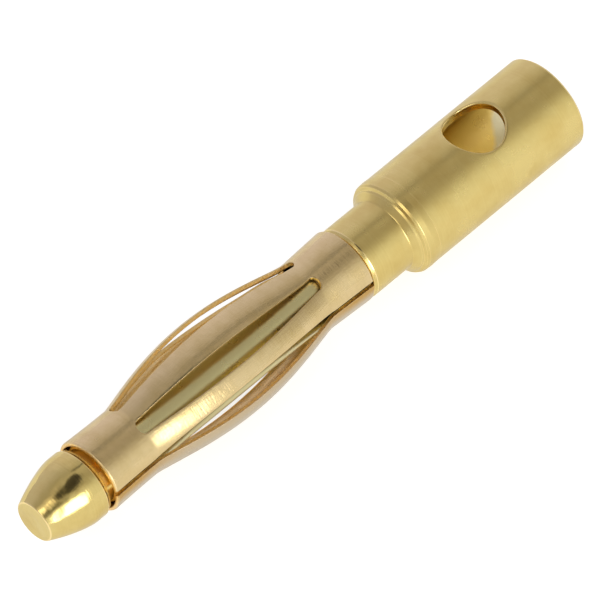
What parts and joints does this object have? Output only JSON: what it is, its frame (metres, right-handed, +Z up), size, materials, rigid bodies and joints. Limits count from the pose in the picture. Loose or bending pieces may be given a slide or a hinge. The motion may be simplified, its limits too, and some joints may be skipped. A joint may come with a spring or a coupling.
{
  "type": "battery lead connector",
  "caption": "Gold-plated plug for a battery lead: a turned pin with a bowed, slotted spring sleeve round its core and a round solder cup with a cross hole at the back.",
  "frame": {"origin": "middle of the solder cup's mouth, on the pin's axis", "axes": "+X along the pin's axis, out of the solder cup's mouth, so the tip is at -X; +Z up, through the solder hole, with the plug lying on its side"},
  "size_m": [0.0164, 0.0026, 0.0025],
  "materials": {
    "gold_pin": "bright gold plate on turned brass",
    "gold_spring": "satin gold plate on stamped spring sheet"
  },
  "bodies": {
    "root": {"pin_body": "gold_pin", "lantern_spring": "gold_spring"}
  },
  "joints": []
}
